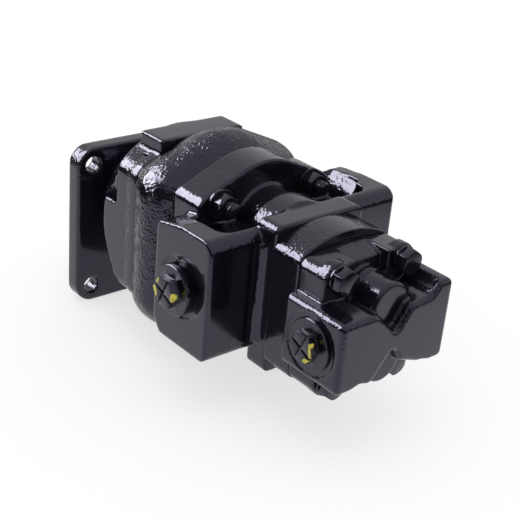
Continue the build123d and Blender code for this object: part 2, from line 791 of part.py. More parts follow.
nodes = {
    "mounting_cover": mounting_cover(),
    "front_gear_housing": cut_seal_grooves(front_gear_housing(), x_housing, x_carrier),
    "centre_port_casting": centre_port_casting(),
    "rear_gear_housing": cut_seal_grooves(rear_gear_housing(), x_rear_housing, x_rear_cover),
    "rear_port_cover": rear_port_cover(),
    "drive_shaft": drive_shaft(),
    "front_driven_gear": front_driven_gear(),
    "coupling_shaft": coupling_shaft(),
    "rear_drive_gear": rear_drive_gear(),
    "rear_driven_gear": rear_driven_gear(),
    "front_bushings": bushings(cover_length - bushing_length, x_carrier, bushing_length),
    "rear_bushings": bushings(x_rear_housing - rear_bushing_length, x_rear_cover, rear_bushing_length),
    "front_thrust_plate": thrust_plates(x_housing, x_carrier)[0],
    "middle_thrust_plate": thrust_plates(x_housing, x_carrier)[1],
    "inner_thrust_plate": thrust_plates(x_rear_housing, x_rear_cover)[0],
    "rear_thrust_plate": thrust_plates(x_rear_housing, x_rear_cover)[1],
    "front_housing_seals": housing_seals(x_housing, x_carrier),
    "rear_housing_seals": housing_seals(x_rear_housing, x_rear_cover),
    "shaft_seal": shaft_seal(),
    "seal_retaining_ring": retaining_ring(),
    "front_dowels": dowels(front_dowels_at(), x_housing, x_carrier),
    "rear_dowels": dowels(rear_dowels_at(), x_rear_housing, x_rear_cover),
    "front_studs": front_studs(),
    "front_nuts": front_nuts(),
    "front_washers": washers(x_nut_face, stud_y, stud_z, front_washer_radius),
    "rear_bolts": rear_bolts(),
    "rear_washers": washers(x_bolt_floor, rear_bolt_y, rear_bolt_z, rear_washer_radius),
    "front_left_plug": front_plug(-1, outlet_radius),
    "front_right_plug": front_plug(1, front_inlet_radius),
    "rear_left_plug": rear_plug(-1, outlet_radius),
    "rear_right_plug": rear_plug(1, rear_inlet_radius),
}

for name, shape in nodes.items():
    export_step(shape, f"parts/{name}.step")
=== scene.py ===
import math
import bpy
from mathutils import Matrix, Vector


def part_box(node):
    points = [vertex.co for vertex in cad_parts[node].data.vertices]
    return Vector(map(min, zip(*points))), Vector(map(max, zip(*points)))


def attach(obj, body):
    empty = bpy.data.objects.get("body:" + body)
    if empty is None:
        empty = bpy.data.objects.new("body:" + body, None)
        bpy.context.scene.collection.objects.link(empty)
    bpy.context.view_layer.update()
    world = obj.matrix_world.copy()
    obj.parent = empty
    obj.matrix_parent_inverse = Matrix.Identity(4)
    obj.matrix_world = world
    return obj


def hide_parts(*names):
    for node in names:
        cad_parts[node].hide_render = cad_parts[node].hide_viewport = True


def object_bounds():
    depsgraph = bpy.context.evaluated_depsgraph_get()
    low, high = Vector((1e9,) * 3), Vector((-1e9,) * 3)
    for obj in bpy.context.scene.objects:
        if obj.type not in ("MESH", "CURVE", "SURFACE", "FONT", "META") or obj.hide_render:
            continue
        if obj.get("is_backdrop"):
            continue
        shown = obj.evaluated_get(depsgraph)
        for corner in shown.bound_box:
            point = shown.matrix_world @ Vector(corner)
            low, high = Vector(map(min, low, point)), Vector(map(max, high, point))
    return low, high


bl_info = {
    "name": "Tandem Gear Pump",
    "version": (1, 0, 0),
    "blender": (4, 5, 0),
    "location": "View3D > Sidebar > Gear Pump",
    "description": "Cast skins, fasteners, plugs and finishes for a side ported tandem gear pump",
    "category": "Object",
}

import bmesh
import bpy
from mathutils import Matrix, Vector, noise

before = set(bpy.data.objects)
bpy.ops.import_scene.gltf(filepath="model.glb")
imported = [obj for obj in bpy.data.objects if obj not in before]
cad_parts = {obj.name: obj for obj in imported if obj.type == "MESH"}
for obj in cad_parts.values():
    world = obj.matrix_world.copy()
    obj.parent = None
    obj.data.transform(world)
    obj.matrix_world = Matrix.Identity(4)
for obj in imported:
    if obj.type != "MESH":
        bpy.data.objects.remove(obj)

MM = 0.001
WHITE = (1, 1, 1, 1)
PAINT_TINT = (0.8, 0.765, 1.0, 1.0)
PAINT_IOR = 1.59
# paint over each kind of surface: name, roughness against the plain gloss, grain size (mm, or None
# for a share of the cast grain's), grain height (mm), share of peel, share of grain on flat faces
PAINTS = {
    "rough_paint": ("paint on rough casting", -0.03, None, 1.6, 0.25, 1.0),
    "cast_paint": ("paint on cast skin", 0.0, 2.4, 0.9, 0.3, 0.08),
    "cover_paint": ("paint on rear cover", 0.0, 2.4, 0.45, 0.3, 0.08),
    "smooth_paint": ("paint on smooth casting", 0.0, 2.8, 0.5, 0.3, 0.08),
    "hardware_paint": ("paint on fasteners", 0.0, 2.0, 0.04, 0.3, 1.0),
}
ROUGH_GRAIN_SHARE = 0.75
# voxel (mm), smoothing passes, lump height as a share of the full grain, paint
CASTINGS = {
    "mounting_cover": (1.3, 12, 0.4, "cast_paint"),
    "front_gear_housing": (1.04, 3, 1.0, "rough_paint"),
    "centre_port_casting": (1.36, 3, 0.1, "smooth_paint"),
    "rear_gear_housing": (0.8, 3, 0.2, "cast_paint"),
    "rear_port_cover": (0.89, 5, 0.1, "cover_paint"),
}
# share of the height, and distance between lumps in grain sizes
COARSE_LUMPS = (0.4, 3)
FINE_LUMPS = (0.6, 0.6)
# cross-section of the slope down into the upper pocket beside the +Y block, back from the block's
# face and down from its top (mm), and its start and length along X from the casting's front
POCKET_SLOPE = ((4, 6), (12, 3), (16, 7), (22, 15), (26, 22), (26, 30), (4, 30))
POCKET_SLOPE_START = 18
POCKET_SLOPE_LENGTH = 54
# vertices closer than this are one, in the CAD's meshes and in spun ones (m)
CAD_WELD = 2e-6
SPUN_WELD = 0.01 * MM
# corners flatter than the first are no corner, sharper than the second are rounded, and sharper
# than the third are shaded crisp (degrees)
FLAT_ANGLE = 1.0
ROUNDED_ANGLE = 30
CRISP_ANGLE = 40
# turn of each hexagon about its own axis (degrees)
HEXAGON_TURNS = {"front_nuts": 30, "rear_bolts": 22}
# stud threads: flat facets round a turn, then the depth, the start and end of the crest, and the
# chamfer at the tip, all as shares of the pitch
THREAD_SIDES = 28
THREAD_DEPTH = 0.55
THREAD_CREST = (0.38, 0.62)
THREAD_CHAMFER = 0.7
# port plugs: heights of flange and head, chamfer of the stem, lip of the flange, depth of the
# grooves, and their directions across the head (degrees)
PLUG_FLANGE_HEIGHT = {"front": 9.8 * MM, "rear": 2.5 * MM}
PLUG_HEAD_HEIGHT = {"front": 7.2 * MM, "rear": 7.4 * MM}
PLUG_CHAMFER = 0.8 * MM
PLUG_LIP = 0.6 * MM
PLUG_GROOVE_DEPTH = 1.4 * MM
PLUG_GROOVE_LEANS = (64, -26)
PLUG_SIDES = 72
# patches of a plug head without paint: across, up, half width, half height (m), turn (degrees)
FRONT_PATCHES = (
    (-10.6 * MM, -1.5 * MM, 2.6 * MM, 5.6 * MM, -24),
    (-7.4 * MM, 6.6 * MM, 1.1 * MM, 3.4 * MM, 24),
    (11.6 * MM, 0.2 * MM, 2.4 * MM, 4.6 * MM, 8),
)
REAR_PATCHES = (
    (9.4 * MM, 1.0 * MM, 1.4 * MM, 5.4 * MM, -10),
    (10.2 * MM, 5.6 * MM, 2.8 * MM, 1.2 * MM, 20),
    (6.4 * MM, -7.4 * MM, 3.2 * MM, 1.5 * MM, -20),
)
PATCH_DEPTH = 4.5 * MM
# how far noise frays a patch's outline, and where the paint begins, in half widths of the patch
PATCH_FRAY = 1.1
PATCH_RIM = (1.6, 1.5)
PLUG_PATCHES = {
    "front_left_plug": FRONT_PATCHES,
    "front_right_plug": REAR_PATCHES,
    "rear_left_plug": REAR_PATCHES,
    "rear_right_plug": FRONT_PATCHES,
}
INNER_FINISHES = {
    "steel": ("drive_shaft", "coupling_shaft", "front_dowels", "rear_dowels",
              "seal_retaining_ring"),
    "gear_steel": ("front_driven_gear", "rear_drive_gear", "rear_driven_gear"),
    "bronze": ("front_bushings", "rear_bushings", "front_thrust_plate", "middle_thrust_plate",
               "inner_thrust_plate", "rear_thrust_plate"),
    "rubber": ("front_housing_seals", "rear_housing_seals", "shaft_seal"),
}
# lamps: direction from the pump, distance, width and height (m)
SIDE_SOFTBOX = ((-0.668, -0.52, 0.5), 1.3, 1.0, 0.9)
OVERHEAD_SOFTBOX = ((0.1, -0.2, 1.0), 1.4, 1.0, 1.0)
OVERHEAD_BRIGHTNESS = 0.8
# the studio in the gloss: brightness of its pale walls, and where they turn dark by direction
PALE_WALLS = 0.75
DARK_SIDE_Y = (-0.1, -0.4)
DARK_SIDE_Z = (0.62, 0.45)
# floor: radius and gap under the pump (m), tone, own light where it is seen, and the distances (m)
# over which it fades into the backdrop
FLOOR_RADIUS = 3.0
FLOOR_GAP = 0.0004
FLOOR_TONE = (0.42, 0.44)
FLOOR_LIFT = 0.66
FLOOR_FADE = (0.5, 0.75)

# shared shader groups and the materials, by name; filled by the first operator
GROUPS = {}
FINISHES = {}


# ---------------------------------------------------------------- properties
class PumpFinish(bpy.types.PropertyGroup):
    """Colours and surface values of the pump."""

    paint: bpy.props.FloatVectorProperty(
        name="Paint", description="Black paint over the castings and fasteners",
        subtype="COLOR", size=3, min=0, max=1, default=(0.0036, 0.0033, 0.0056))
    paint_gloss: bpy.props.FloatProperty(
        name="Paint Roughness", description="Roughness of the paint on smooth castings",
        min=0, max=1, default=0.13)
    grain_height: bpy.props.FloatProperty(
        name="Grain Height", description="Height of the sand-cast grain on the gear housing",
        subtype="DISTANCE", unit="LENGTH", default=0.2 * MM)
    grain_size: bpy.props.FloatProperty(
        name="Grain Size", description="Distance between lumps of the sand-cast grain",
        subtype="DISTANCE", unit="LENGTH", default=3.4 * MM)
    steel: bpy.props.FloatVectorProperty(
        name="Steel", description="Ground steel of the shafts and gears",
        subtype="COLOR", size=3, min=0, max=1, default=(0.5, 0.5, 0.52))
    bronze: bpy.props.FloatVectorProperty(
        name="Bronze", description="Bushings and thrust plates",
        subtype="COLOR", size=3, min=0, max=1, default=(0.6, 0.41, 0.2))
    rubber: bpy.props.FloatVectorProperty(
        name="Rubber", description="Seals",
        subtype="COLOR", size=3, min=0, max=1, default=(0.018, 0.018, 0.019))
    edge: bpy.props.FloatProperty(
        name="Worn Edge", description="Width of the softened edges of the fasteners and plugs",
        subtype="DISTANCE", unit="LENGTH", default=0.35 * MM)
    thread_pitch: bpy.props.FloatProperty(
        name="Thread Pitch", description="Pitch of the stud threads",
        subtype="DISTANCE", unit="LENGTH", default=1.75 * MM)
    plug_flats: bpy.props.FloatProperty(
        name="Plug Head", description="Size across the flats of the plugs' hexagon heads",
        subtype="DISTANCE", unit="LENGTH", default=21.5 * MM)
    plug_groove: bpy.props.FloatProperty(
        name="Plug Groove", description="Width of the crossed grooves in the plug heads",
        subtype="DISTANCE", unit="LENGTH", default=2.3 * MM)
    plastic: bpy.props.FloatVectorProperty(
        name="Plug Plastic",
        description="Yellow plastic of the port plugs, where the paint has missed it",
        subtype="COLOR", size=3, min=0, max=1, default=(0.75, 0.68, 0.07))


class PumpStage(bpy.types.PropertyGroup):
    """Camera, lights and floor."""

    lens: bpy.props.FloatProperty(
        name="Lens", description="Focal length of the camera on a 36 mm sensor",
        min=10, max=300, default=77.62)
    azimuth: bpy.props.FloatProperty(
        name="Azimuth", description="Camera direction, 0 along +Y",
        subtype="ANGLE", unit="ROTATION", default=math.radians(47.97))
    elevation: bpy.props.FloatProperty(
        name="Elevation", description="Camera height above the horizon",
        subtype="ANGLE", unit="ROTATION", default=math.radians(26.01))
    roll: bpy.props.FloatProperty(
        name="Roll", description="Camera turn about its own axis",
        subtype="ANGLE", unit="ROTATION", default=math.radians(5.23))
    distance: bpy.props.FloatProperty(
        name="Distance", description="From the camera to its target",
        subtype="DISTANCE", unit="LENGTH", default=0.90649)
    target: bpy.props.FloatVectorProperty(
        name="Target", description="Point that the camera looks at",
        subtype="TRANSLATION", unit="LENGTH", size=3, default=(0.165, 0.00674, 0.01567))
    softbox: bpy.props.FloatProperty(
        name="Softbox", description="Brightness of the side softbox that the gloss reflects",
        min=0, default=12.5)
    fill: bpy.props.FloatProperty(
        name="Fill", description="Strength of the light from all round",
        min=0, default=0.75)
    dark: bpy.props.FloatProperty(
        name="Dark Side", description="How bright the unlit side of the studio looks in the gloss",
        min=0, max=1, default=0.05)


# ---------------------------------------------------------------- mesh helpers
def merged_copy(node):
    """A bmesh of a CAD node with its loose triangles joined."""
    shape = bmesh.new()
    shape.from_mesh(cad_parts[node].data)
    bmesh.ops.remove_doubles(shape, verts=shape.verts, dist=CAD_WELD)
    return shape


def make_object(shape, name, smooth_angle=30):
    """A mesh object from a bmesh, smooth shaded but for its sharp edges."""
    mesh = bpy.data.meshes.new(name)
    shape.to_mesh(mesh)
    shape.free()
    mesh.shade_smooth()
    mesh.set_sharp_from_angle(angle=math.radians(smooth_angle))
    made = bpy.data.objects.new(name, mesh)
    bpy.context.scene.collection.objects.link(made)
    return made


def apply_modifiers(made):
    """Turns the modifiers' result into the object's own mesh."""
    graph = bpy.context.evaluated_depsgraph_get()
    mesh = bpy.data.meshes.new_from_object(made.evaluated_get(graph), depsgraph=graph)
    made.modifiers.clear()
    made.data = mesh


def stand_for(made, node, body, finish):
    """The object takes a CAD node's place, body and finish."""
    made.data.materials.clear()
    made.data.materials.append(finish)
    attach(made, body)
    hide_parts(node)


# ---------------------------------------------------------------- node helpers
def node_group(name, inputs, outputs):
    """An empty shader group with named float, vector or colour sockets."""
    group = bpy.data.node_groups.new(name, "ShaderNodeTree")
    for label, kind, value in inputs:
        socket = group.interface.new_socket(label, in_out="INPUT", socket_type=kind)
        if value is not None:
            socket.default_value = value
    for label, kind in outputs:
        group.interface.new_socket(label, in_out="OUTPUT", socket_type=kind)
    return group, group.nodes.new("NodeGroupInput"), group.nodes.new("NodeGroupOutput")


def add(tree, kind, settings=None, **values):
    """A node with its settings and input values set; a name's underscores stand for spaces."""
    made = tree.nodes.new(kind)
    for key, value in (settings or {}).items():
        setattr(made, key, value)
    for key, value in values.items():
        made.inputs[key.replace("_", " ")].default_value = value
    return made


def math_node(tree, operation, first, second):
    """A math node on two sockets or numbers; gives its output socket."""
    made = add(tree, "ShaderNodeMath", {"operation": operation})
    for place, value in enumerate((first, second)):
        if isinstance(value, bpy.types.NodeSocket):
            tree.links.new(value, made.inputs[place])
        else:
            made.inputs[place].default_value = value
    return made.outputs[0]


def range_node(tree, value, low, high, to_low=0.0, to_high=1.0):
    """A clamped map range; gives its output socket."""
    made = add(tree, "ShaderNodeMapRange", From_Min=low, From_Max=high, To_Min=to_low,
               To_Max=to_high)
    tree.links.new(value, made.inputs["Value"])
    return made.outputs[0]


def cast_grain_group():
    """Sand-cast grain under paint: lumps, finer peel in patches, and a mask of the pits."""
    group, start, end = node_group(
        "Cast Grain",
        [("Vector", "NodeSocketVector", None), ("Size", "NodeSocketFloat", 2.6 * MM),
         ("Peel", "NodeSocketFloat", 0.3)],
        [("Height", "NodeSocketFloat"), ("Pits", "NodeSocketFloat")])
    scale = math_node(group, "DIVIDE", 1.0, start.outputs["Size"])
    lumps = add(group, "ShaderNodeTexNoise", Detail=1.0, Roughness=0.3, Distortion=0.3)
    cells = add(group, "ShaderNodeTexVoronoi", {"feature": "SMOOTH_F1"}, Smoothness=0.8)
    for made in (lumps, cells):
        group.links.new(start.outputs["Vector"], made.inputs["Vector"])
        group.links.new(scale, made.inputs["Scale"])
    peel = add(group, "ShaderNodeTexNoise", Detail=0.0)
    group.links.new(start.outputs["Vector"], peel.inputs["Vector"])
    group.links.new(math_node(group, "MULTIPLY", scale, 1.7), peel.inputs["Scale"])
    patch = add(group, "ShaderNodeTexNoise", Scale=1 / (16 * MM), Detail=2.0)
    group.links.new(start.outputs["Vector"], patch.inputs["Vector"])
    where = range_node(group, patch.outputs["Fac"], 0.38, 0.62, 0.25, 1.0)
    fine = math_node(group, "MULTIPLY", peel.outputs["Fac"], start.outputs["Peel"])
    coarse = math_node(group, "ADD", math_node(group, "MULTIPLY", lumps.outputs["Fac"], 0.7),
                       math_node(group, "MULTIPLY", cells.outputs["Distance"], -0.2))
    both = math_node(group, "ADD", coarse, fine)
    group.links.new(math_node(group, "MULTIPLY", both, where), end.inputs["Height"])
    group.links.new(range_node(group, lumps.outputs["Fac"], 0.42, 0.3), end.inputs["Pits"])
    return group


def cloud_group():
    """Slow uneven patches between Low and High, for tone and gloss that drift over a surface."""
    group, start, end = node_group(
        "Uneven Patches",
        [("Vector", "NodeSocketVector", None), ("Size", "NodeSocketFloat", 30 * MM),
         ("Low", "NodeSocketFloat", 0.0), ("High", "NodeSocketFloat", 1.0)],
        [("Value", "NodeSocketFloat")])
    scale = math_node(group, "DIVIDE", 1.0, start.outputs["Size"])
    cloud = add(group, "ShaderNodeTexNoise", Detail=4.0, Roughness=0.6)
    group.links.new(start.outputs["Vector"], cloud.inputs["Vector"])
    group.links.new(scale, cloud.inputs["Scale"])
    made = add(group, "ShaderNodeMapRange", From_Min=0.3, From_Max=0.7)
    group.links.new(cloud.outputs["Fac"], made.inputs["Value"])
    group.links.new(start.outputs["Low"], made.inputs["To Min"])
    group.links.new(start.outputs["High"], made.inputs["To Max"])
    group.links.new(made.outputs[0], end.inputs["Value"])
    return group


def grinding_group():
    """Fine rings round the X axis, as turning and grinding leave them."""
    group, start, end = node_group(
        "Turned Rings",
        [("Vector", "NodeSocketVector", None), ("Pitch", "NodeSocketFloat", 0.3 * MM)],
        [("Height", "NodeSocketFloat"), ("Tone", "NodeSocketFloat")])
    parts = add(group, "ShaderNodeSeparateXYZ")
    group.links.new(start.outputs["Vector"], parts.inputs[0])
    along = math_node(group, "DIVIDE", parts.outputs["X"], start.outputs["Pitch"])
    streak = add(group, "ShaderNodeTexNoise", {"noise_dimensions": "1D"}, Scale=1.0, Detail=3.0)
    group.links.new(along, streak.inputs["W"])
    group.links.new(streak.outputs["Fac"], end.inputs["Height"])
    group.links.new(range_node(group, streak.outputs["Fac"], 0.3, 0.7), end.inputs["Tone"])
    return group


def use(tree, group, vector, **values):
    """Places a shared group in a material, with its own values."""
    made = add(tree, "ShaderNodeGroup", {"node_tree": group}, **values)
    tree.links.new(vector, made.inputs["Vector"])
    return made


def new_material(name):
    """A new material; gives it, its tree, its Principled shader and the Object coordinates."""
    made = bpy.data.materials.new(name)
    made.use_nodes = True
    tree = made.node_tree
    place = tree.nodes.new("ShaderNodeTexCoord").outputs["Object"]
    return made, tree, tree.nodes["Principled BSDF"], place


def mix_colours(tree, amount, low, high):
    """A colour between two, by a socket; gives its output socket."""
    made = add(tree, "ShaderNodeMix", {"data_type": "RGBA"})
    made.inputs[6].default_value = (*low, 1)
    made.inputs[7].default_value = (*high, 1)
    tree.links.new(amount, made.inputs[0])
    return made.outputs[2]


def bump(tree, height, shader, distance):
    """A bump node between a height socket and the shader's normal."""
    made = add(tree, "ShaderNodeBump", Strength=1.0, Distance=distance)
    tree.links.new(height, made.inputs["Height"])
    tree.links.new(made.outputs[0], shader.inputs["Normal"])


def uneven_roughness(tree, place, size, low, high):
    """A roughness that drifts between two values over the surface; gives its output socket."""
    return use(tree, GROUPS["cloud"], place, Size=size, Low=low, High=high).outputs["Value"]


def gloss_paint(shader):
    """The paint's faintly violet gloss."""
    shader.inputs["IOR"].default_value = PAINT_IOR
    shader.inputs["Specular Tint"].default_value = PAINT_TINT


def slanted(tree, flat_share):
    """1 on curved and slanted skin and flat_share on machined faces square to the axes."""
    normal = tree.nodes.new("ShaderNodeNewGeometry").outputs["Normal"]
    size = add(tree, "ShaderNodeVectorMath", {"operation": "ABSOLUTE"})
    tree.links.new(normal, size.inputs[0])
    parts = tree.nodes.new("ShaderNodeSeparateXYZ")
    tree.links.new(size.outputs[0], parts.inputs[0])
    square = math_node(tree, "MAXIMUM", parts.outputs["X"], parts.outputs["Y"])
    square = math_node(tree, "MAXIMUM", square, parts.outputs["Z"])
    return range_node(tree, square, 0.9995, 0.975, flat_share, 1.0)


def paint_material(name, colour, roughness, grain_size, grain_height, peel, flat_share):
    """Gloss paint that follows the cast grain under it, with painted shade in the grain's pits."""
    made, tree, shader, place = new_material(name)
    grain = use(tree, GROUPS["grain"], place, Size=grain_size, Peel=peel)
    patch = uneven_roughness(tree, place, 24 * MM, roughness - 0.04, roughness + 0.06)
    tree.links.new(patch, shader.inputs["Roughness"])
    # painted shade: the paint is darker in the pits of the grain than on the lumps around them
    paint_beside_pit_shade = tuple(1.9 * value for value in colour)
    mixed = mix_colours(tree, grain.outputs["Pits"], paint_beside_pit_shade, colour)
    tree.links.new(mixed, shader.inputs["Base Color"])
    height = grain.outputs["Height"]
    if flat_share < 1:
        height = math_node(tree, "MULTIPLY", height, slanted(tree, flat_share))
    bump(tree, height, shader, grain_height)
    gloss_paint(shader)
    return made


def steel_material(name, colour, roughness):
    """Ground or turned metal with its tool marks and a thin film of oil."""
    made, tree, shader, place = new_material(name)
    rings = use(tree, GROUPS["rings"], place)
    darker = tuple(0.75 * value for value in colour)
    mixed = mix_colours(tree, rings.outputs["Tone"], darker, colour)
    tree.links.new(mixed, shader.inputs["Base Color"])
    patch = uneven_roughness(tree, place, 12 * MM, roughness - 0.06, roughness + 0.08)
    tree.links.new(patch, shader.inputs["Roughness"])
    bump(tree, rings.outputs["Height"], shader, 0.01 * MM)
    shader.inputs["Metallic"].default_value = 1.0
    return made


def rubber_material(name, colour):
    """Matt black rubber with a faint moulded grain."""
    made, tree, shader, place = new_material(name)
    grain = use(tree, GROUPS["grain"], place, Size=0.6 * MM)
    paler = tuple(1.6 * value for value in colour)
    mixed = mix_colours(tree, grain.outputs["Pits"], colour, paler)
    tree.links.new(mixed, shader.inputs["Base Color"])
    patch = uneven_roughness(tree, place, 8 * MM, 0.5, 0.65)
    tree.links.new(patch, shader.inputs["Roughness"])
    bump(tree, grain.outputs["Height"], shader, 0.02 * MM)
    return made


def plug_material(name, paint, plastic, roughness, middle, patches):
    """Yellow plastic under black paint, bare in patches where the spray missed the head."""
    made, tree, shader, place = new_material(name)
    grain = use(tree, GROUPS["grain"], place, Size=1.2 * MM)
    ragged = add(tree, "ShaderNodeTexNoise", Scale=1 / (1.6 * MM), Detail=4.0, Roughness=0.7)
    tree.links.new(place, ragged.inputs["Vector"])
    bare = None
    for across, up, half_width, half_height, turn in patches:
        spot = add(tree, "ShaderNodeMapping", {"vector_type": "TEXTURE"},
                   Location=(middle.x + across, middle.y, middle.z + up),
                   Rotation=(0, math.radians(turn), 0),
                   Scale=(half_width, PATCH_DEPTH, half_height))
        tree.links.new(place, spot.inputs["Vector"])
        reach = add(tree, "ShaderNodeVectorMath", {"operation": "LENGTH"})
        tree.links.new(spot.outputs[0], reach.inputs[0])
        fray = math_node(tree, "MULTIPLY", ragged.outputs["Fac"], PATCH_FRAY)
        uneven = math_node(tree, "ADD", reach.outputs["Value"], fray)
        inside = range_node(tree, uneven, *PATCH_RIM)
        bare = inside if bare is None else math_node(tree, "MAXIMUM", bare, inside)
    tree.links.new(mix_colours(tree, bare, paint, plastic), shader.inputs["Base Color"])
    patch = uneven_roughness(tree, place, 10 * MM, roughness - 0.03, roughness + 0.05)
    duller = math_node(tree, "MULTIPLY", bare, 0.25)
    tree.links.new(math_node(tree, "ADD", patch, duller), shader.inputs["Roughness"])
    bump(tree, grain.outputs["Height"], shader, 0.03 * MM)
    gloss_paint(shader)
    return made


def make_finishes():
    """Builds the shared groups and every material."""
    finish = bpy.context.scene.pump_finish
    GROUPS.update(grain=cast_grain_group(), cloud=cloud_group(), rings=grinding_group())
    paint = tuple(finish.paint)
    gloss = finish.paint_gloss
    for key, (name, rougher, size, height, peel, flat_share) in PAINTS.items():
        grain = ROUGH_GRAIN_SHARE * finish.grain_size if size is None else size * MM
        FINISHES[key] = paint_material(name, paint, gloss + rougher, grain, height * MM, peel,
                                       flat_share)
    FINISHES.update(
        steel=steel_material("ground steel", tuple(finish.steel), 0.26),
        gear_steel=steel_material("hardened steel", tuple(0.85 * v for v in finish.steel), 0.3),
        bronze=steel_material("turned bronze", tuple(finish.bronze), 0.32),
        rubber=rubber_material("seal rubber", tuple(finish.rubber)),
    )
    for node, patches in PLUG_PATCHES.items():
        middle, side, *_, floor = plug_measures(node)
        section = node.split("_")[0]
        middle.y = side * (floor + PLUG_FLANGE_HEIGHT[section] + PLUG_HEAD_HEIGHT[section])
        FINISHES[node] = plug_material("painted plastic of " + node, paint, tuple(finish.plastic),
                                       gloss + 0.03, middle, patches)


# ---------------------------------------------------------------- pieces
def cast_skin(node, voxel, passes, lump_height, grain_size, finish):
    """A casting with rounded edges and a lumpy sand-cast skin."""
    shape = merged_copy(node)
    if node == "centre_port_casting":
        shape = joined([shape, pocket_slope(node)])
    made = make_object(shape, node + "_skin")
    remesh = made.modifiers.new("skin", "REMESH")
    remesh.mode = "VOXEL"
    remesh.voxel_size = voxel
    relax = made.modifiers.new("relax", "SMOOTH")
    relax.factor = 0.5
    relax.iterations = passes
    apply_modifiers(made)
    places = [vertex.co.copy() for vertex in made.data.vertices]
    normals = [vertex.normal.copy() for vertex in made.data.vertices]
    for vertex, place, normal in zip(made.data.vertices, places, normals):
        lump = sum(share * noise.noise(place / (spacing * grain_size))
                   for share, spacing in (COARSE_LUMPS, FINE_LUMPS))
        vertex.co = place + normal * lump * lump_height
    made.data.shade_smooth()
    stand_for(made, node, "casing", finish)


def pocket_slope(node):
    """A bmesh of the slope that leads from the top of the +Y block down into the pocket."""
    low, high = (Vector(corner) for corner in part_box(node))
    points = [vertex.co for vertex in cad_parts[node].data.vertices]
    block_top = max(point.z for point in points if point.y > high.y - 1 * MM)
    shape = bmesh.new()
    front = low.x + POCKET_SLOPE_START * MM
    face = shape.faces.new([shape.verts.new((front, high.y - back * MM, block_top - down * MM))
                            for back, down in POCKET_SLOPE])
    grown = bmesh.ops.extrude_face_region(shape, geom=[face])["geom"]
    moved = [part for part in grown if isinstance(part, bmesh.types.BMVert)]
    bmesh.ops.translate(shape, verts=moved, vec=(POCKET_SLOPE_LENGTH * MM, 0, 0))
    bmesh.ops.recalc_face_normals(shape, faces=shape.faces)
    return shape


def solids(node):
    """Low and high corners of each separate solid of a CAD node, in order of place."""
    shape = merged_copy(node)
    left = set(shape.verts)
    boxes = []
    while left:
        first = left.pop()
        reached, front = [first], [first]
        while front:
            for edge in front.pop().link_edges:
                for vertex in edge.verts:
                    if vertex in left:
                        left.discard(vertex)
                        reached.append(vertex)
                        front.append(vertex)
        boxes.append([Vector([end(v.co[i] for v in reached) for i in range(3)])
                      for end in (min, max)])
    shape.free()
    return sorted(boxes, key=lambda box: tuple(box[0]))


def soften(made, width):
    """Rounds the sharp edges of a hard piece, so that they catch the light."""
    bevel = made.modifiers.new("worn edge", "BEVEL")
    bevel.width = width
    bevel.segments = 2
    bevel.limit_method = "ANGLE"
    bevel.angle_limit = math.radians(ROUNDED_ANGLE)
    apply_modifiers(made)
    made.data.shade_smooth()
    made.data.set_sharp_from_angle(angle=math.radians(CRISP_ANGLE))


def flat_sided_copy(node):
    """A merged copy of a CAD node whose flat faces are whole again."""
    shape = merged_copy(node)
    bmesh.ops.dissolve_limit(shape, angle_limit=math.radians(FLAT_ANGLE), verts=shape.verts,
                             edges=shape.edges)
    return shape


def turn_hexagons(shape, node):
    """Turns each nut or bolt a little on its own axis, as tightening leaves them."""
    turn = Matrix.Rotation(math.radians(HEXAGON_TURNS[node]), 3, "X")
    for low, high in solids(node):
        middle = (low + high) / 2
        reach = (high - low).length / 2
        near = [vertex for vertex in shape.verts if (vertex.co - middle).length < reach]
        bmesh.ops.rotate(shape, cent=middle, matrix=turn, verts=near)


def threaded_rod(low, high, pitch):
    """A bmesh of a rod along X, threaded from end to end, with a chamfered rear tip."""
    shape = bmesh.new()
    radius = (high.z - low.z) / 2
    middle = (low + high) / 2
    root = radius - THREAD_DEPTH * pitch
    crest_start, crest_end = THREAD_CREST
    # the profile runs past both ends, and what is over is cut off below
    start = low.x - 1.5 * pitch
    chain = []
    for step in range(int((high.x - low.x) / pitch) + 4):
        for share, reach in ((0.0, root), (crest_start, radius), (crest_end, radius)):
            x = start + (step + share) * pitch
            chain.append(shape.verts.new((x, middle.y, middle.z + reach)))
    edges = [shape.edges.new(pair) for pair in zip(chain, chain[1:])]
    bmesh.ops.spin(shape, geom=chain + edges, cent=middle, axis=(1, 0, 0), angle=math.tau,
                   dvec=(pitch / THREAD_SIDES, 0, 0), steps=THREAD_SIDES, use_merge=False)
    bmesh.ops.remove_doubles(shape, verts=shape.verts, dist=SPUN_WELD)
    for place, cleared in ((low, "clear_inner"), (high, "clear_outer")):
        whole = shape.verts[:] + shape.edges[:] + shape.faces[:]
        bmesh.ops.bisect_plane(shape, geom=whole, dist=0.001 * MM, plane_co=place,
                               plane_no=(1, 0, 0), **{cleared: True})
    rims = [edge for edge in shape.edges if edge.is_boundary]
    bmesh.ops.holes_fill(shape, edges=rims, sides=0)
    chamfer = THREAD_CHAMFER * pitch
    for vertex in shape.verts:
        spoke = Vector((0, vertex.co.y - middle.y, vertex.co.z - middle.z))
        allowed = radius - chamfer + (high.x - vertex.co.x)
        if spoke.length > allowed:
            vertex.co -= spoke * (1 - allowed / spoke.length)
    bmesh.ops.recalc_face_normals(shape, faces=shape.faces)
    return shape


def joined(shapes):
    """One bmesh from several."""
    whole = bmesh.new()
    for shape in shapes:
        mesh = bpy.data.meshes.new("joined")
        shape.to_mesh(mesh)
        shape.free()
        whole.from_mesh(mesh)
        bpy.data.meshes.remove(mesh)
    return whole


def combine(made, tool, operation):
    """Joins a tool shape to an object, or cuts it out."""
    change = made.modifiers.new("combine", "BOOLEAN")
    change.operation = operation
    change.solver = "EXACT"
    change.object = tool
    apply_modifiers(made)
    bpy.data.objects.remove(tool)


